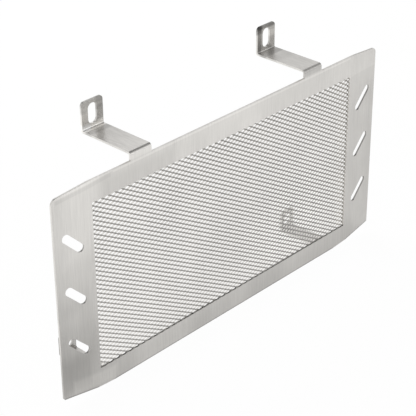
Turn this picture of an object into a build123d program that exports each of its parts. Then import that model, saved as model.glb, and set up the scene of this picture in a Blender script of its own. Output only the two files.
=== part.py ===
"""Motorcycle radiator guard.

One sheet of stainless steel is cut and folded into a window frame with two slotted wings and four
offset tabs, and a diamond mesh is welded behind its window. X runs along the guard, Y goes back
towards the radiator and Z is up. Sizes are in millimetres.
"""
import os
from math import ceil, cos, radians, sin, tan

from build123d import *

# Sheet
sheet = 1.5               # gauge of the frame
inner_bend = 1.0          # inside radius of the tab bends

# Window and the bars round it
window_width = 280.8
window_height = 138.2
top_bar = 17.6
bottom_bar = 16.5
side_bar = 3.1            # flat strip between the window and the fold of a wing
sweep_start = 16.5        # the bottom edge starts to climb this far before the fold
sweep_rise = 1.3          # and has climbed this much at the fold

# Wings
wing_width = 31.6         # from the fold to the outer edge
wing_fold = 3.2           # degrees that a wing leans back
wing_top_drop = 3.3       # how far its top edge falls towards the outside
wing_bottom_rise = 6.0    # climb of the bottom edge from the middle of the guard to its end
wing_top_corner = 5.0
wing_bottom_corner = 1.5

# Slots in a wing, falling towards the window
vent_length = 23.5
vent_width = 6.4
vent_slope = 45.0
vent_count = 3
vent_pitch = 42.5
vent_from_fold = 15.2

# Tabs that carry the guard
upper_tab_width = 20.5
lower_tab_width = 16.0
tab_reach = 50.3          # front of the guard to the back of an upper ear
upper_tab_place = 93.1    # centre of a tab from the middle of the guard
upper_tab_rise = 6.5      # top of the shelf above the top edge
upper_ear = 21.9          # height of the ear above its shelf
lower_tab_place = 127.3
lower_tab_drop = 0.9      # underside of the shelf below the bottom edge
lower_tab_extra = 2.5     # a lower ear stands this much further back
lower_ear = 17.2
ear_corner = 3.0
ear_slot_width = 8.4      # clears an M8 bolt
upper_slot_length = 16.1
lower_slot_length = 11.5

# Diamond mesh
mesh_cell = 3.72          # from one strand to the next, measured upwards
mesh_lean = 29.8          # degrees from level
mesh_skew = 0.7           # degrees that the mesh was laid in out of true, falling to the right
mesh_start = (1.8, 1.2)   # a crossing of strands, from the middle of the window
strand_width = 1.0
strand_depth = 0.6        # each set of strands
mesh_side_lap = 2.8       # mesh behind the frame, beside the window
mesh_end_lap = 5.0        # the same, above and below the window
mesh_reveal = 2.0         # strands run free this far behind the frame

# Worked out from the sizes above
bottom_edge = lower_tab_drop
window_bottom = bottom_edge + bottom_bar
window_middle = window_bottom + window_height / 2
top_edge = window_bottom + window_height + top_bar
fold_line = window_width / 2 + side_bar
wing_reach = wing_width * cos(radians(wing_fold))
wing_back = wing_width * sin(radians(wing_fold))
half_width = fold_line + wing_reach
wing_low = bottom_edge + wing_bottom_rise
wing_high = top_edge - wing_top_drop
upper_shelf_top = top_edge + upper_tab_rise
lower_tab_reach = tab_reach + lower_tab_extra
overall_depth = max(tab_reach, lower_tab_reach)


def facing(y):
    """Sketch plane seen from the front, at a depth y behind the front face."""
    return Plane.XZ.offset(-y)


def behind(sketch, y, depth):
    """Solid that starts at a depth y and runs back from it."""
    return extrude(facing(y) * sketch, amount=-depth)


def frame_outline():
    """Front view of the sheet: level edges in the middle, wings that narrow outwards."""
    right = [(0, bottom_edge), (fold_line - sweep_start, bottom_edge), (fold_line, bottom_edge + sweep_rise),
             (half_width, wing_low), (half_width, wing_high), (fold_line, top_edge), (0, top_edge)]
    left = [(-x, z) for x, z in reversed(right[1:-1])]
    outline = Polygon(*right, *left, align=None)
    outer = outline.vertices().filter_by(lambda v: abs(abs(v.X) - half_width) < 1e-6)
    upper = outer.filter_by(lambda v: v.Y > window_middle)
    outline = fillet(upper, wing_top_corner)
    outer = outline.vertices().filter_by(lambda v: abs(v.Y - wing_low) < 1e-6 and abs(v.X) > fold_line)
    return fillet(outer, wing_bottom_corner)


def folded_sheet():
    """Plan view of the sheet, flat between the folds and leaning back outside them."""
    lean = radians(wing_fold)
    spare = 2 * sheet
    tip_x = half_width + spare * cos(lean)
    tip_y = wing_back + spare * sin(lean)
    mitre = sheet * tan(lean / 2)
    front = [(0, 0), (fold_line, 0), (tip_x, tip_y)]
    rear = [(tip_x - sheet * sin(lean), tip_y + sheet * cos(lean)), (fold_line - mitre, sheet), (0, sheet)]
    right = Polygon(*front, *rear, align=None)
    plan = right + mirror(right, about=Plane.YZ)
    return extrude(Plane.XY * plan, amount=top_edge)


def wing_vents():
    """Cutters for the slots in the right wing, square to the wing."""
    lean = radians(wing_fold)
    on_wing = Plane(origin=(fold_line, 0, 0), x_dir=(cos(lean), sin(lean), 0), z_dir=(sin(lean), -cos(lean), 0))
    middle = (wing_low + wing_high) / 2
    vent = SlotOverall(vent_length, vent_width, rotation=vent_slope)
    row = [Pos(vent_from_fold, middle + (i - (vent_count - 1) / 2) * vent_pitch) * vent
           for i in range(vent_count)]
    return extrude(on_wing * Sketch(row), amount=2 * sheet, both=True)


def tab(path, place, width, slot_middle, slot_length):
    """Strip bent along a side-view path, with a rounded and slotted ear at its end."""
    line = FilletPolyline(*path, radius=inner_bend + sheet / 2)
    strip = extrude(Plane.YZ * trace(line, line_width=sheet), amount=width / 2, both=True)
    strip = Part() + strip.solids()
    corners = strip.edges().filter_by(Axis.Y).group_by(Axis.Z)[-1]
    strip = fillet(corners, ear_corner)
    slot = Pos(0, slot_middle) * SlotOverall(slot_length, ear_slot_width, rotation=90)
    strip -= behind(slot, path[-1][0] - sheet, 2 * sheet)
    return Pos(place, 0, 0) * strip


def upper_tab():
    """Up from the top edge, back over the radiator and up again to the ear."""
    half = sheet / 2
    shelf = upper_shelf_top - half
    ear_line = tab_reach - half
    ear_top = upper_shelf_top + upper_ear
    path = [(half, top_edge - top_bar / 2), (half, shelf), (ear_line, shelf), (ear_line, ear_top)]
    return tab(path, upper_tab_place, upper_tab_width, upper_shelf_top + upper_ear / 2, upper_slot_length)


def lower_tab():
    """Down from the bottom edge, back under the radiator and up to the ear."""
    half = sheet / 2
    ear_line = lower_tab_reach - half
    ear_top = sheet + lower_ear
    path = [(half, bottom_edge + bottom_bar / 2), (half, half), (ear_line, half), (ear_line, ear_top)]
    return tab(path, lower_tab_place, lower_tab_width, sheet + lower_ear / 2, lower_slot_length)


def guard_frame():
    """The whole folded sheet."""
    body = folded_sheet() & behind(frame_outline(), -sheet, wing_back + 4 * sheet)
    body -= behind(Pos(0, window_middle) * Rectangle(window_width, window_height), -sheet, 3 * sheet)
    vents = wing_vents()
    body -= vents
    body -= mirror(vents, about=Plane.YZ)
    for one in (upper_tab(), lower_tab()):
        body += one
        body += mirror(one, about=Plane.YZ)
    return body


def strand_set(lean):
    """Parallel strands across the window, left standing in a plate by slits. A minus lean falls to the right."""
    plate = Rectangle(window_width + 2 * mesh_side_lap, window_height + 2 * mesh_end_lap)
    free = Rectangle(window_width + 2 * mesh_reveal, window_height + 2 * mesh_reveal)
    slit_width = mesh_cell * cos(radians(lean)) - strand_width
    slit_length = 2 * (window_width + window_height)
    rise = window_height / 2 + window_width / 2 * tan(radians(abs(lean)))
    rows = ceil(rise / mesh_cell)
    slit = Rectangle(slit_length, slit_width, rotation=lean)
    slits = Pos(*mesh_start) * Sketch([Pos(0, (row + 0.5) * mesh_cell) * slit for row in range(-rows - 2, rows + 2)])
    openings = [face for face in (slits & free).faces() if face.area > strand_width ** 2]
    return plate - Sketch(openings)


def mesh_panel():
    """Two sets of strands pressed together, one falling and one climbing to the right."""
    falling = strand_set(-mesh_lean - mesh_skew)
    climbing = strand_set(mesh_lean - mesh_skew)
    front = behind(Pos(0, window_middle) * falling, sheet, strand_depth)
    rear = behind(Pos(0, window_middle) * climbing, sheet + strand_depth, strand_depth)
    return Compound(children=[front.solid(), rear.solid()])


os.makedirs("parts", exist_ok=True)
centred = Pos(0, -overall_depth / 2, 0)
for name, shape in (("guard_frame", guard_frame()), ("mesh_panel", mesh_panel())):
    placed = centred * shape
    export_step(placed, f"parts/{name}.step")
    box = placed.bounding_box()
    print(name, len(placed.solids()), "solid(s)", box.min, box.max, round(placed.volume / 1000, 2), "cm3")
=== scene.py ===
# %% [markdown]
# # A stainless radiator guard
#
# The guard is a folded sheet of brushed stainless steel with a diamond mesh behind its window.
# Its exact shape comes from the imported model, which is loaded first and never moved. This file
# gives it a camera, a white studio, a brushed finish with the marks of its making, and a mesh
# whose strands have their true section.

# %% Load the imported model
from math import cos, radians, sin, tan

import bpy
import numpy as np
from mathutils import Matrix, Vector


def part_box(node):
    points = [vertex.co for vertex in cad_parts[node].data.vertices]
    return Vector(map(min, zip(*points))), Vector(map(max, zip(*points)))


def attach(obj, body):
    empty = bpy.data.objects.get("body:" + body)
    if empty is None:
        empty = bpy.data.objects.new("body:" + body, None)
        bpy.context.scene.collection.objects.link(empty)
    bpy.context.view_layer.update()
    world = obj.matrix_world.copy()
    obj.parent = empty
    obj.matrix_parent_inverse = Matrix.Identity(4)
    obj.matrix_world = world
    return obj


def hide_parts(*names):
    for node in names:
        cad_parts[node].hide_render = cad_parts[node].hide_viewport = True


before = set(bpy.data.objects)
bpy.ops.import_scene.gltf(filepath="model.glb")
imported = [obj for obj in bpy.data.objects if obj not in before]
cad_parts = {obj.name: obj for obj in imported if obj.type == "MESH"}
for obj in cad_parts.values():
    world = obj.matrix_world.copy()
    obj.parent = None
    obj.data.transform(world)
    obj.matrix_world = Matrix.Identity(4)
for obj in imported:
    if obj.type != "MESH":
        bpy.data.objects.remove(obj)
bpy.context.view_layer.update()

MM = 0.001

# %% [markdown]
# ## The camera
#
# A camera is a place, a target and a lens. These three were worked out from the photograph: the
# lens is long, as product photographers like it, and stands to the left of the guard and above
# it. Its place is given as two angles and a distance from the target, because they can be read
# off a picture one at a time. A roll of half a degree tilts it as the photographer's was tilted.

# %% Camera
CAMERA_AZIMUTH = -46.37        # degrees round from straight ahead, towards the guard's left end
CAMERA_ELEVATION = 29.55       # degrees above level
CAMERA_ROLL = -0.45            # degrees
CAMERA_DISTANCE = 1.0699
CAMERA_TARGET = Vector((-0.0263, -0.0264, 0.1040))
CAMERA_SIGHT = 20              # metres that the camera sees, past the end of the floor
PICTURE_SIDE = 416
FOCAL_PIXELS = 1431.0
SENSOR_MM = 36.0


def place_camera():
    """Camera axes from azimuth and elevation: right, up and back are the columns of its turn."""
    around, above, roll = (radians(angle) for angle in (CAMERA_AZIMUTH, CAMERA_ELEVATION, CAMERA_ROLL))
    back = Vector((sin(around) * cos(above), -cos(around) * cos(above), sin(above)))
    right = Vector((0, 0, 1)).cross(back).normalized()
    up = back.cross(right)
    tilted_right = right * cos(roll) + up * sin(roll)
    tilted_up = up * cos(roll) - right * sin(roll)
    turn = Matrix((tilted_right, tilted_up, back)).transposed().to_4x4()
    data = bpy.data.cameras.new("photo_camera")
    data.sensor_width = SENSOR_MM
    data.lens = SENSOR_MM * FOCAL_PIXELS / PICTURE_SIDE
    data.clip_end = CAMERA_SIGHT
    camera = bpy.data.objects.new("photo_camera", data)
    camera.matrix_world = Matrix.Translation(CAMERA_TARGET + back * CAMERA_DISTANCE) @ turn
    bpy.context.scene.collection.objects.link(camera)
    bpy.context.scene.camera = camera
    return camera


camera = place_camera()
print("camera at", [round(v, 3) for v in camera.location], "lens", round(camera.data.lens, 1), "mm")

# %% [markdown]
# ## Nodes by name
#
# A finish is a small network of nodes. Each helper here makes one kind of node, joins it to what
# feeds it, and hands back its result. A recipe written with them reads like arithmetic, and no
# wire has to be drawn by hand.

# %% Helpers for materials


def add_node(tree, kind, inputs=None, **settings):
    """One node of a kind, with its settings and its unlinked or linked inputs."""
    node = tree.nodes.new(kind)
    for name, value in settings.items():
        setattr(node, name, value)
    for name, value in (inputs or {}).items():
        if isinstance(value, bpy.types.NodeSocket):
            tree.links.new(value, node.inputs[name])
        else:
            node.inputs[name].default_value = value
    return node


def calculate(tree, operation, *numbers):
    """One step of arithmetic on numbers."""
    return add_node(tree, "ShaderNodeMath", dict(enumerate(numbers)), operation=operation).outputs[0]


def vectors(tree, operation, *values):
    """One step of arithmetic on vectors. A distance comes out as a number."""
    node = add_node(tree, "ShaderNodeVectorMath", dict(enumerate(values)), operation=operation)
    return node.outputs["Value" if operation == "DISTANCE" else "Vector"]


def spread(tree, value, limits, results=(0.0, 1.0), course="SMOOTHSTEP"):
    """Number that goes from the first result to the second while a value goes from the first limit
    to the second, and stays at the nearer result outside them."""
    inputs = {"Value": value, "From Min": limits[0], "From Max": limits[1],
              "To Min": results[0], "To Max": results[1]}
    return add_node(tree, "ShaderNodeMapRange", inputs, interpolation_type=course).outputs[0]


def mix_numbers(tree, share, first, second):
    """The first number for a share of 0, and the second for 1."""
    inputs = {"Factor": share, "A": first, "B": second}
    return add_node(tree, "ShaderNodeMix", inputs, data_type="FLOAT").outputs["Result"]


def mix_colours(tree, share, first, second, way="MIX"):
    """The first colour for a share of 0. For 1 it is the second, or with MULTIPLY the first tinted by it."""
    inputs = {"Factor": share, "A": first, "B": second}
    return add_node(tree, "ShaderNodeMix", inputs, data_type="RGBA", blend_type=way).outputs["Result"]


def mix_shaders(tree, share, first, second):
    """The first shader for a share of 0, and the second for 1."""
    return add_node(tree, "ShaderNodeMixShader", {0: share, 1: first, 2: second}).outputs[0]


def grey(level):
    """Opaque colour with equal red, green and blue."""
    return (level, level, level, 1.0)


def ramp(tree, factor, stops):
    """Colour for a number from 0 to 1, from stops of a place and a grey level, or of a place and a colour."""
    node = add_node(tree, "ShaderNodeValToRGB", {"Fac": factor})
    band = node.color_ramp
    while len(band.elements) < len(stops):
        band.elements.new(1.0)
    for element, (place, shade) in zip(band.elements, stops):
        element.position = place
        element.color = (*shade, 1.0) if isinstance(shade, tuple) else grey(shade)
    return node.outputs["Color"]


# %% [markdown]
# ## The room
#
# Brushed metal has little colour of its own. What it shows is the room, blurred by its grain, so
# the room is most of the likeness. Here it is white to the camera and an even, softer light to
# dull surfaces. A reflection sees something else: large grey cards, as a photographer stands them
# round a shiny thing. One is in front, one behind and one to the left, and a bright upright one
# stands in front on the right, where the bends of the tabs catch it. The direction of a reflected
# ray says which card it meets, so the reflections stay right from any side.

# %% Cards for metal to mirror
# grey by height: 0 at the horizon, 1 overhead
BACK_CARD = [(0.0, 0.45), (0.20, 0.30), (0.36, 1.10), (0.58, 1.18), (0.70, 0.15), (1.0, 0.15)]
FRONT_CARD = [(0.0, 0.55), (0.12, 0.75), (0.25, 0.65), (0.42, 1.30), (0.50, 1.24), (0.575, 1.16),
              (0.63, 0.60), (1.0, 0.50)]
UPRIGHT_CARD = [(0.0, 1.3), (0.30, 1.3), (0.42, 0.65), (0.62, 0.60), (0.68, 0.12)]
LEFT_CARD = 0.95               # one grey from bottom to top
FRONT_CARD_RIGHT = 0.90        # share of its light that the front card keeps towards the right

# soft edges, from start to end, as parts of a ray's direction: 1 is due right, -1 due left or front
FRONT_EDGE = (0.0, -0.5)
FRONT_CARD_FADE = (-0.05, 0.20)
LEFT_EDGE = (-0.15, -0.45)
UPRIGHT_LEFT_EDGE = (0.30, 0.50)
UPRIGHT_RIGHT_EDGE = (0.74, 0.88)


def mirrored_cards(tree):
    """Colour of the room in a reflection, from the right, back and up parts of its direction. The
    upright card is laid over the front one, both over the back one, and the left one over all."""
    towards = add_node(tree, "ShaderNodeTexCoord").outputs["Generated"]
    part = add_node(tree, "ShaderNodeSeparateXYZ", {"Vector": towards}).outputs
    right, back, height = part["X"], part["Y"], part["Z"]
    fade = spread(tree, right, FRONT_CARD_FADE, (1.0, FRONT_CARD_RIGHT))
    front_card = mix_colours(tree, 1.0, ramp(tree, height, FRONT_CARD), fade, "MULTIPLY")
    past_left_edge = spread(tree, right, UPRIGHT_LEFT_EDGE)
    before_right_edge = spread(tree, right, UPRIGHT_RIGHT_EDGE, (1.0, 0.0))
    on_upright = calculate(tree, "MULTIPLY", past_left_edge, before_right_edge)
    front_card = mix_colours(tree, on_upright, front_card, ramp(tree, height, UPRIGHT_CARD))
    in_front = spread(tree, back, FRONT_EDGE)
    cards = mix_colours(tree, in_front, ramp(tree, height, BACK_CARD), front_card)
    on_left = spread(tree, right, LEFT_EDGE)
    return mix_colours(tree, on_left, cards, grey(LEFT_CARD))


# %% [markdown]
# The Light Path node says what kind of ray is asking. A ray straight from the camera sees white,
# one that was mirrored sees the cards, and any other brings the even light. So a white picture
# needs no more light on the metal.

# %% White room
ROOM_LIGHT = 0.50
WHITE = grey(1.0)


def background(tree, colour, strength):
    """Light from all round, of one colour or of a colour for each direction."""
    return add_node(tree, "ShaderNodeBackground", {"Color": colour, "Strength": strength}).outputs[0]


def white_room():
    """World: even light for dull surfaces, white to the camera, and the cards in reflections."""
    world = bpy.data.worlds.new("white_room")
    world.use_nodes = True
    tree = world.node_tree
    tree.nodes.clear()
    ray = add_node(tree, "ShaderNodeLightPath").outputs
    mirrored = background(tree, mirrored_cards(tree), 1.0)
    plain = background(tree, WHITE, ROOM_LIGHT)
    white = background(tree, WHITE, 1.0)
    light = mix_shaders(tree, ray["Is Glossy Ray"], plain, mirrored)
    seen = calculate(tree, "MAXIMUM", ray["Is Camera Ray"], ray["Is Transmission Ray"])
    add_node(tree, "ShaderNodeOutputWorld", {"Surface": mix_shaders(tree, seen, light, white)})
    bpy.context.scene.world = world
    return world


print("world", white_room().name)

# %% [markdown]
# ## The floor
#
# The guard stands on a sheet of white paper. The paper is dull and takes the guard's shadow, but
# paper alone would come out grey, so most of what the camera sees of it is plain white and only a
# small share is lit paper. That leaves the faint shadow of the photograph. The metal mirrors the
# floor too, and there the paper's brightness is painted: graded in strips from front to back,
# with a painted shadow in a strip just in front of the guard and round a place in front of its
# left end, and painted shade that dims it towards the right.

# %% Floor
FLOOR_COLOUR = (0.86, 0.86, 0.85, 1.0)
FLOOR_SIZE = 6.0
WHITE_SHARE_SEEN = 0.975       # of the floor that the camera sees as plain white
WHITE_SHARE_MIRRORED = 0.70    # the same in a reflection, where the shadow matters more
STRIPS_DEPTH = (-0.35, 0.15)   # metres: front of the first strip and back of the last
# place between those two, and grey; the dip just in front of the guard is a painted shadow
STRIPS = [(0.0, 0.96), (0.10, 0.96), (0.64, 0.66), (0.72, 0.66), (0.80, 1.0), (1.0, 1.0)]
STRIPS_GAIN = 1.25
# painted shade: in a reflection the floor dims towards the right
DIM_RIGHT = (0.6, 1.0)         # metres, from where it starts to dim to where it is darkest
DIM_RIGHT_LEVEL = 0.12
# painted shadow: in a reflection the floor is darker round a place in front of the guard's left end
PAINTED_SHADOW_CENTRE = (-0.15, -0.10, 0.0)
PAINTED_SHADOW_RADIUS = 0.10
PAINTED_SHADOW_LEVEL = 0.42


def empty_material(name):
    """Material with no nodes, and the tree to put them in."""
    material = bpy.data.materials.new(name)
    material.use_nodes = True
    material.node_tree.nodes.clear()
    return material, material.node_tree


def mirrored_floor(tree):
    """Painted brightness of the floor in a reflection: the strips, which hold a painted shadow in front of
    the guard, times how much a painted shadow and painted shade to the right leave of them.
    """
    place = add_node(tree, "ShaderNodeTexCoord").outputs["Object"]
    part = add_node(tree, "ShaderNodeSeparateXYZ", {"Vector": place}).outputs
    depth = spread(tree, part["Y"], STRIPS_DEPTH, course="LINEAR")
    strips = calculate(tree, "MULTIPLY", ramp(tree, depth, STRIPS), STRIPS_GAIN)
    from_corner = vectors(tree, "DISTANCE", place, PAINTED_SHADOW_CENTRE)
    corner = spread(tree, from_corner, (0.0, PAINTED_SHADOW_RADIUS), (PAINTED_SHADOW_LEVEL, 1.0))
    right = spread(tree, part["X"], DIM_RIGHT, (1.0, DIM_RIGHT_LEVEL))
    return calculate(tree, "MULTIPLY", calculate(tree, "MULTIPLY", strips, corner), right)


def pale_floor():
    """A flat square at z = 0, part dull paper and part plain white, whose shares depend on the ray."""
    half = FLOOR_SIZE / 2
    corners = [(-half, -half, 0), (half, -half, 0), (half, half, 0), (-half, half, 0)]
    mesh = bpy.data.meshes.new("floor")
    mesh.from_pydata(corners, [], [(0, 1, 2, 3)])
    floor = bpy.data.objects.new("floor", mesh)
    bpy.context.scene.collection.objects.link(floor)
    material, tree = empty_material("pale_floor")
    ray = add_node(tree, "ShaderNodeLightPath").outputs
    paper = add_node(tree, "ShaderNodeBsdfDiffuse", {"Color": FLOOR_COLOUR}).outputs[0]
    level = mix_numbers(tree, ray["Is Glossy Ray"], 1.0, mirrored_floor(tree))
    glow = add_node(tree, "ShaderNodeEmission", {"Color": WHITE, "Strength": level}).outputs[0]
    seen = calculate(tree, "MULTIPLY", ray["Is Camera Ray"], WHITE_SHARE_SEEN)
    share = calculate(tree, "MULTIPLY_ADD", ray["Is Glossy Ray"], WHITE_SHARE_MIRRORED, seen)
    add_node(tree, "ShaderNodeOutputMaterial", {"Surface": mix_shaders(tree, share, paper, glow)})
    mesh.materials.append(material)
    return floor


print("floor", tuple(round(side, 2) for side in pale_floor().dimensions))

# %% [markdown]
# ## Two lamps
#
# A broad lamp behind and above gives the shadow its direction, towards the camera, and a weak one
# in front keeps the shadow pale. Both are hidden from reflections, because the cards already
# stand for what the metal mirrors, and a second bright square in it would look wrong.

# %% Lamps
KEY_PLACE = (0.25, 1.3, 1.25)
KEY_TARGET = (0, -0.1, 0.0)
KEY_SIZE = (1.3, 1.0)
KEY_POWER = 26.0               # watts
FILL_PLACE = (-1.0, -1.6, 1.3)
FILL_TARGET = (0, 0, 0.1)
FILL_SIZE = (1.2, 1.2)
FILL_POWER = 4.0


def broad_lamp(name, place, target, size, power):
    """Rectangular soft box aimed at a point, and unseen in reflections."""
    data = bpy.data.lights.new(name, "AREA")
    data.shape = "RECTANGLE"
    data.size, data.size_y = size
    data.energy = power
    lamp = bpy.data.objects.new(name, data)
    aim = (Vector(target) - Vector(place)).to_track_quat("-Z", "Y")
    lamp.matrix_world = Matrix.Translation(place) @ aim.to_matrix().to_4x4()
    lamp.visible_glossy = False
    bpy.context.scene.collection.objects.link(lamp)
    return lamp


lamps = [broad_lamp("key_behind_above", KEY_PLACE, KEY_TARGET, KEY_SIZE, KEY_POWER),
         broad_lamp("front_fill", FILL_PLACE, FILL_TARGET, FILL_SIZE, FILL_POWER)]
bpy.context.scene.view_settings.view_transform = "Standard"
print("lamps", [lamp.name for lamp in lamps])

# %% [markdown]
# ## Soft boxes for painted light and shade
#
# The sheet does not mirror the room evenly: some parts lie in shade, some mirror darker or brighter
# parts of the room, and the cut edges look like thin dark lines. Here all of that is painted into
# the metal's colour, as painted shade, painted shadows, painted reflections and painted highlights.
# Such a mark can be painted on an image, but an image needs the sheet laid out flat. Here each mark
# is a box in space with soft sides, and the metal's colour inside it is painted darker or brighter.
# A box can reach round a bend and be thin enough to touch only a cut edge.

# %% One soft box


def soft_box(tree, place, centre, half, margin, turn):
    """1 inside a turned box and 0 beyond a soft margin round it. The place is taken from the box's centre
    and turned back; how far outside it lies is the largest of its distances beyond the box's sides."""
    centre, half = (tuple(v * MM for v in sizes) for sizes in (centre, half))
    away = vectors(tree, "SUBTRACT", place, centre)
    turned_back = {"Vector": away, "Rotation": tuple(radians(v) for v in turn)}
    settings = {"rotation_type": "EULER_XYZ", "invert": True}
    away = add_node(tree, "ShaderNodeVectorRotate", turned_back, **settings).outputs[0]
    away = vectors(tree, "ABSOLUTE", away)
    beyond = vectors(tree, "SUBTRACT", away, half)
    part = add_node(tree, "ShaderNodeSeparateXYZ", {"Vector": beyond}).outputs
    most = calculate(tree, "MAXIMUM", part["X"], part["Y"])
    most = calculate(tree, "MAXIMUM", most, part["Z"])
    return spread(tree, most, (0.0, margin * MM), (1.0, 0.0))


# %% [markdown]
# ## Brushed stainless
#
# Stainless sheet leaves the mill with a grain of fine parallel scratches. Here they run up and
# down the guard and on along each tab. Noise stretched far along Y and Z gives them, once very
# fine for the scratches and once broad for the bands that catch the light, and a slow cloud keeps
# wide faces from looking flat. They change the colour a little, the roughness more, and the
# surface height least.

# %% Brushed finish
GRAIN_FINE = 2600.0            # changes in a metre across the grain, roughly
GRAIN_BROAD = 620.0
GRAIN_ALONG = 60.0             # and along it, for the fine scratches
GRAIN_DEPTH = 2.5              # times as many from front to back
GRAIN_ROUGHNESS = 0.6
FINE_DETAIL = 2.0
BROAD_DETAIL = 4.0
BROAD_SHARE = 0.5
CLOUD_SCALE = 18.0             # changes in a metre
CLOUD_DETAIL = 3.0
CLOUD_SHARE = 0.35
TONE_LIMITS = (0.38, 0.62)     # where the noise is darkest and lightest
TONE_SWING = 0.08              # share of the colour
GLOSS_LIMITS = (0.35, 0.65)
GLOSS_SWING = 0.04
SCRATCH_STRENGTH = 0.25


def grain(tree, place, across, along, detail):
    """Noise that changes fast along X, slowly along Z and a little less slowly along Y."""
    scale = (across, GRAIN_DEPTH * along, along)
    stretched = add_node(tree, "ShaderNodeMapping", {"Vector": place, "Scale": scale}).outputs[0]
    inputs = {"Vector": stretched, "Scale": 1.0, "Detail": detail, "Roughness": GRAIN_ROUGHNESS}
    return add_node(tree, "ShaderNodeTexNoise", inputs).outputs["Fac"]


def brushed_steel(name, colour, roughness, scratch_height, marks=(), knuckle_shade=None):
    """Brushed finish: colour, gloss and height all follow one grain, and each mark of painted light or
    shade multiplies the colour by its tone inside its soft box. A knuckle shade, painted shade, does
    so where the mesh's knuckle attribute is 1."""
    material, tree = empty_material(name)
    place = add_node(tree, "ShaderNodeTexCoord").outputs["Object"]
    fine = grain(tree, place, GRAIN_FINE, GRAIN_ALONG, FINE_DETAIL)
    broad = grain(tree, place, GRAIN_BROAD, GRAIN_ALONG / 2, BROAD_DETAIL)
    cloud = {"Vector": place, "Scale": CLOUD_SCALE, "Detail": CLOUD_DETAIL}
    cloud = add_node(tree, "ShaderNodeTexNoise", cloud).outputs["Fac"]
    bands = mix_numbers(tree, BROAD_SHARE, fine, broad)
    tone = mix_numbers(tree, CLOUD_SHARE, bands, cloud)
    dark = tuple((1 - TONE_SWING) * c for c in colour)
    light = tuple(min(1.0, (1 + TONE_SWING) * c) for c in colour)
    paint = ramp(tree, tone, list(zip(TONE_LIMITS, (dark, light))))
    # painted light and shade: each mark makes the colour darker or brighter inside its box
    for centre, half, margin, turn, shade in marks:
        inside = soft_box(tree, place, centre, half, margin, turn)
        paint = mix_colours(tree, inside, paint, grey(shade), "MULTIPLY")
    # painted shade at the mesh's knuckles
    if knuckle_shade:
        knuckle = add_node(tree, "ShaderNodeAttribute", attribute_name="knuckle").outputs["Fac"]
        paint = mix_colours(tree, knuckle, paint, grey(knuckle_shade), "MULTIPLY")
    rough = spread(tree, tone, GLOSS_LIMITS, (roughness + GLOSS_SWING, roughness - GLOSS_SWING), "LINEAR")
    scratches = {"Height": fine, "Strength": SCRATCH_STRENGTH, "Distance": scratch_height}
    normal = add_node(tree, "ShaderNodeBump", scratches).outputs[0]
    metal = {"Base Color": paint, "Roughness": rough, "Normal": normal, "Metallic": 1.0}
    shader = add_node(tree, "ShaderNodeBsdfPrincipled", metal).outputs[0]
    add_node(tree, "ShaderNodeOutputMaterial", {"Surface": shader})
    return material


# %% [markdown]
# ## The painted light and shade, part by part
#
# Each mark is the centre of its box, half its size, its soft margin, how it is turned, and a
# tone: below 1 darkens and above 1 brightens. Lengths are in millimetres and turns in degrees
# about X, Y and Z. The lower tabs are out of the light, so painted shade makes them darker than
# the face. The ears carry painted reflections: painted shade along their edges, and painted
# highlights at the left one's foot and left edge.

# %% Marks on the tabs
NO_TURN = (0, 0, 0)
# painted shade on the lower tabs, darkest at the right one's ear foot and along the left ear's edges
LOWER_TAB_MARKS = [
    ((127.3, 1.2, 10.2), (7.1, 23.8, 9), 0.3, NO_TURN, 0.30),
    ((124, 20, 4), (4, 5, 3), 1, NO_TURN, 0.20),
    ((-127.3, 25, 9), (7.6, 0.6, 9), 0.4, NO_TURN, 0.76),
    ((-135.3, 25.5, 9), (0.2, 2, 9), 0.3, NO_TURN, 0.45),
    ((-119.3, 25.5, 9), (0.3, 2, 9), 0.5, NO_TURN, 0.65),
]
# painted reflections on the ears: painted shade along their edges, painted highlights at the left one's foot
# and left edge
EAR_PAINTED_LIGHT_AND_SHADE = [
    ((85.3, 22.5, 192), (1.7, 1.2, 13), 0.6, NO_TURN, 0.58),
    ((85.3, 22.5, 200), (1.7, 1.2, 3), 3.0, NO_TURN, 0.48),
    ((94, 22.5, 201.5), (10, 1.2, 1.8), 2, NO_TURN, 0.45),
    ((-84, 22.5, 198), (4, 1.2, 4), 4, NO_TURN, 0.75),
    ((-93, 22, 181.5), (9, 2, 1.0), 2.0, NO_TURN, 1.50),
    ((-100, 22.5, 186), (3, 1.2, 5), 3, NO_TURN, 1.27),
    ((-93, 22.5, 200.5), (10, 1.2, 1.5), 3, NO_TURN, 0.78),
    ((-86.5, 22.5, 190), (3, 1.2, 4), 3, NO_TURN, 0.82),
    ((100, 22.5, 184), (3, 1.2, 5), 3, NO_TURN, 0.76),
    ((100, 22.5, 200), (3, 1.2, 2), 4, NO_TURN, 0.75),
]
# painted reflections: the upper shelves are painted darker towards their ears, and the two risers are painted
# one darker and one brighter
SHELF_MARKS = [
    ((93, 16.5, 180), (11, 1.5, 1.2), 3.5, NO_TURN, 0.66),
    ((93, 7, 180), (11, 2, 1.2), 8, NO_TURN, 0.92),
    ((-93, 16.5, 180), (11, 1.5, 1.2), 3.5, NO_TURN, 0.78),
    ((93, -26, 177), (10.3, 1, 2), 2, NO_TURN, 0.82),
    ((-93, -26, 177), (10.3, 1, 2), 2, NO_TURN, 1.08),
]
print("marks on the tabs", len(LOWER_TAB_MARKS + EAR_PAINTED_LIGHT_AND_SHADE + SHELF_MARKS))

# %% [markdown]
# On the cut edges painted shade makes thin dark lines: on the vents' walls in the wings, and as a
# painted shadow along the window's lower edge, where the frame meets the mesh. Along the guard's
# lower edge the colour is darker too. On the wings these boxes lean back with the sheet, and along
# its lower edge they climb with it. The window's right side carries a painted highlight.

# %% Marks on the cut edges
WING_LEAN = 3.2                # degrees that a wing leans back
WING_CLIMB = 8.5               # degrees that its lower edge climbs outwards
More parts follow.
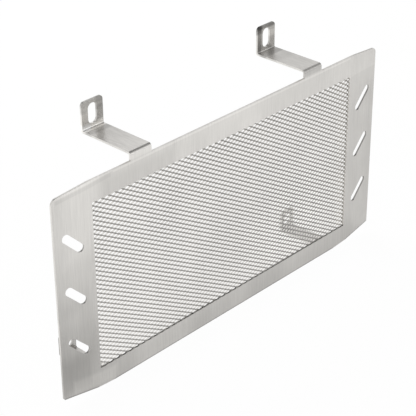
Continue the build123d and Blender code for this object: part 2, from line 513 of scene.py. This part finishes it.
# painted shade on the cut edges, and a painted highlight on the window's right side
CUT_EDGE_MARKS = [
    ((159.3, -24.77, 88.4), (12, 0.45, 60), 0.25, (0, 0, WING_LEAN), 0.50),
    ((-159.3, -24.77, 88.4), (12, 0.45, 60), 0.25, (0, 0, -WING_LEAN), 0.50),
    ((140.4, -25.65, 86.5), (0.2, 0.7, 69), 0.3, NO_TURN, 1.25),
    ((0, -25.5, 17.4), (141, 0.55, 0.25), 0.3, NO_TURN, 0.45),
    ((0, -26.4, 0.9), (127, 2, 0.4), 0.8, NO_TURN, 0.60),
    ((-159.5, -26, 4.6), (16, 3, 0.4), 0.8, (0, WING_CLIMB, 0), 0.60),
    ((159.5, -26, 4.6), (16, 3, 0.4), 0.8, (0, -WING_CLIMB, 0), 0.60),
]
print("marks on the cut edges", len(CUT_EDGE_MARKS))

# %% [markdown]
# On the face, wide boxes with very soft margins are painted reflections, darker and brighter
# patches where the metal mirrors the room. Thin strips follow the top edge as painted highlights,
# and on the left wing a painted darker reflection lies just below.

# %% Marks on the face
# painted reflections and painted highlights on the face
FACE_MARKS = [
    ((160, -25, 72), (22, 3, 82.5), 1.5, NO_TURN, 0.945),
    ((166, -25, 70), (18, 3, 78), 9, NO_TURN, 0.985),
    ((178, -25, 80), (8, 3, 60), 8, NO_TURN, 0.95),
    ((-149, -25, 148), (6, 4, 22), 18, NO_TURN, 1.10),
    ((-168, -25, 58), (5, 3, 10), 14, NO_TURN, 1.11),
    ((-162, -25, 24), (6, 3, 6), 13, NO_TURN, 0.90),
    ((-146, -25, 10), (18, 3, 3), 5, (0, 7, 0), 1.14),
    ((-75, -26.4, 5), (15, 2, 10), 28, NO_TURN, 1.12),
    ((-96, -26.4, 160), (30, 2, 4), 13, NO_TURN, 0.90),
    ((0, -26.4, 163), (16, 2, 6), 24, NO_TURN, 1.09),
    ((40, -26.4, 9), (10, 2, 7), 20, NO_TURN, 0.93),
    ((-147, -25.5, 171.8), (26, 3, 0.5), 1.0, (0, -4, 0), 1.12),
    ((10, -26.4, 171.9), (130, 0.6, 0.5), 0.7, NO_TURN, 1.10),
    ((-147, -25.5, 168.6), (24, 3, 0.8), 1.2, (0, -4, 0), 0.92),
]
print("marks on the face", len(FACE_MARKS))

# %% [markdown]
# ## The frame's finish
#
# The frame is a node of the imported model, and its shape is right as it is, so it only changes its
# material. All of its painted light and shade goes into that one material.

# %% Dress the frame
SHEET_STEEL = (0.67, 0.655, 0.63)
SHEET_ROUGHNESS = 0.34
SHEET_SCRATCH = 0.05 * MM      # height of the scratches


def dress(node, material):
    """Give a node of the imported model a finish, in every slot that it has."""
    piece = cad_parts[node]
    if not piece.material_slots:
        piece.data.materials.append(material)
    for slot in piece.material_slots:
        slot.material = material
    return piece


marks = LOWER_TAB_MARKS + EAR_PAINTED_LIGHT_AND_SHADE + SHELF_MARKS + CUT_EDGE_MARKS + FACE_MARKS
sheet_steel = brushed_steel("brushed_sheet", SHEET_STEEL, SHEET_ROUGHNESS, SHEET_SCRATCH, marks)
dressed = dress("guard_frame", sheet_steel)
print("dressed", dressed.name, "with", len(sheet_steel.node_tree.nodes), "nodes and", len(marks), "marks")

# %% [markdown]
# ## The mesh
#
# Expanded metal is one sheet that is slit in rows and pulled open. Pulling tilts each strand, so
# all of them face a little upwards, and leaves a wider knuckle where two strands part. The packed
# model keeps its strands flat and even, to stay light. The strands made here lie on the same
# lines, have the true tilt and knuckles, and take the place of the plain ones.
#
# One set falls to the right and the other climbs. The falling set stands half a millimetre in
# front and is the narrower one, because in the photograph its thin lines run on unbroken across
# broader ones. At a knuckle the strands shade each other and the bent metal mirrors a darker part
# of the room, so each point keeps a number, 1 at a knuckle and 0 away from it, and painted shade
# darkens the colour by it.

# %% Lines of one set
MESH_CELL = 3.72 * MM          # between neighbouring strands, measured upwards
FALLING_LEAN = -30.5           # degrees from level
CLIMBING_LEAN = 29.1
MESH_START = (1.8 * MM, 1.2 * MM)     # a crossing, from the middle of the window
WINDOW_MIDDLE = 86.5 * MM
STEPS = (0.0, 0.16, 0.5, 0.84)  # places along one cell where the width is set
KNUCKLE_SPREAD = 0.13          # share of a cell over which a knuckle dies away


def strand_lines(lean, other_lean, shortest, low, high):
    """Points on the lines z = start + k * cell + slope * x, for each whole k, from edge to edge of the
    panel, and how near each is to a crossing. Lines of the other set cut one of these every cell / slope
    difference along x. The knuckle is e to the minus square of the distance to a crossing over its spread."""
    steps = np.array(STEPS)
    half = (high[0] - low[0]) / 2
    slope, other = tan(radians(lean)), tan(radians(other_lean))
    spacing = MESH_CELL / abs(slope - other)
    cells = int(half / spacing) + 2
    along = MESH_START[0] + spacing * (np.arange(-cells, cells)[:, None] + steps).ravel()
    nearest = np.tile(np.minimum(steps, 1 - steps), 2 * cells)
    rows = int((high[2] - low[2] + abs(slope) * 2 * half) / MESH_CELL / 2) + 2
    base = WINDOW_MIDDLE + MESH_START[1] + MESH_CELL * np.arange(-rows, rows + 1) - slope * MESH_START[0]
    ends = np.stack([(low[2] - base) / slope, (high[2] - base) / slope])
    start, stop = np.maximum(ends.min(0), -half), np.minimum(ends.max(0), half)
    keep = stop - start > shortest
    base, start, stop = base[keep], start[keep], stop[keep]
    x = np.clip(along[None, :], start[:, None], stop[:, None])
    z = base[:, None] + slope * x
    knuckle = np.exp(-(nearest / KNUCKLE_SPREAD) ** 2)[None, :] * np.ones_like(x)
    return x, z, knuckle


# %% [markdown]
# Each line now gets a flat bar. Four corners go round every point, neighbouring rings of corners
# are joined by four faces, and each end of a bar has a cap. All bars of a set are one piece.

# %% Bars along the lines
STRAND_THICKNESS = 0.42 * MM
STRAND_TILT = 38.5             # degrees that a strand's face turns upwards
KNUCKLE_EXTRA = 0.25           # of the plain width, at a crossing
CORNERS = [(1, 1), (1, -1), (-1, -1), (-1, 1)]
SHORTEST_FACE = 1e-7           # metres along x


def bar_faces(x):
    """Faces of four corners each, for lines of points whose corners are numbered point by point. Faces
    between two points at the same place, past the end of a line, are left out."""
    lines, samples = x.shape
    index = np.arange(lines * samples * 4).reshape(lines, samples, 4)
    here, there = index[:, :-1], index[:, 1:]
    sides = np.stack([here, np.roll(here, -1, axis=2), np.roll(there, -1, axis=2), there], axis=-1)
    sides = sides[np.diff(x, axis=1) > SHORTEST_FACE].reshape(-1, 4)
    caps = np.concatenate([index[:, 0, ::-1], index[:, -1]])
    return np.concatenate([sides, caps])


def strands(name, lean, other_lean, plain_width, behind, material):
    """Bars along the lines of one set. A corner lies plus or minus half the width from its point along the
    tilted face, and half the thickness along the face's normal. The width is the plain width times one
    plus the knuckle's extra. The piece stands behind the middle of the panel by the length given."""
    low, high = (np.array(v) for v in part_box("mesh_panel"))
    x, z, knuckle = strand_lines(lean, other_lean, 2 * plain_width, low, high)
    middle_y = (low[1] + high[1]) / 2 + behind
    width = plain_width / 2 * (1 + KNUCKLE_EXTRA * knuckle)
    face = np.array([-sin(radians(lean)), 0, cos(radians(lean))])
    back = np.array([0, 1, 0])
    turn = radians(STRAND_TILT)
    across = cos(turn) * face + sin(turn) * back
    normal = sin(turn) * face - cos(turn) * back
    centre = np.stack([x, np.full_like(x, middle_y), z], axis=-1)
    rings = [centre + a * width[..., None] * across + b * STRAND_THICKNESS / 2 * normal for a, b in CORNERS]
    points = np.stack(rings, axis=2).reshape(-1, 3)
    quads = bar_faces(x)
    mesh = bpy.data.meshes.new(name)
    mesh.from_pydata(points, [], quads.tolist())
    shade = mesh.attributes.new("knuckle", "FLOAT", "POINT")
    shade.data.foreach_set("value", np.repeat(knuckle, 4))
    mesh.validate()
    mesh.materials.append(material)
    piece = bpy.data.objects.new(name, mesh)
    bpy.context.scene.collection.objects.link(piece)
    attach(piece, "root")
    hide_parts("mesh_panel")
    print(name, len(x), "strands", 2 * len(quads), "triangles")
    return piece


# %% [markdown]
# The mesh is stamped, not brushed, so its metal is a shade darker and much glossier than the
# frame's, with finer scratches. The same recipe makes it from other numbers.

# %% Both sets of strands
MESH_STEEL = (0.635, 0.618, 0.592)
MESH_ROUGHNESS = 0.15
MESH_SCRATCH = 0.02 * MM
# painted shade at the knuckles
KNUCKLE_SHADE = 0.6
FALLING_WIDTH = 0.80 * MM
CLIMBING_WIDTH = 1.26 * MM
SET_SHIFT = 0.25 * MM          # each set, from the middle of the panel

mesh_steel = brushed_steel("mesh_steel", MESH_STEEL, MESH_ROUGHNESS, MESH_SCRATCH,
                           knuckle_shade=KNUCKLE_SHADE)
strands("mesh_falling", FALLING_LEAN, CLIMBING_LEAN, FALLING_WIDTH, -SET_SHIFT, mesh_steel)
strands("mesh_climbing", CLIMBING_LEAN, FALLING_LEAN, CLIMBING_WIDTH, SET_SHIFT, mesh_steel)
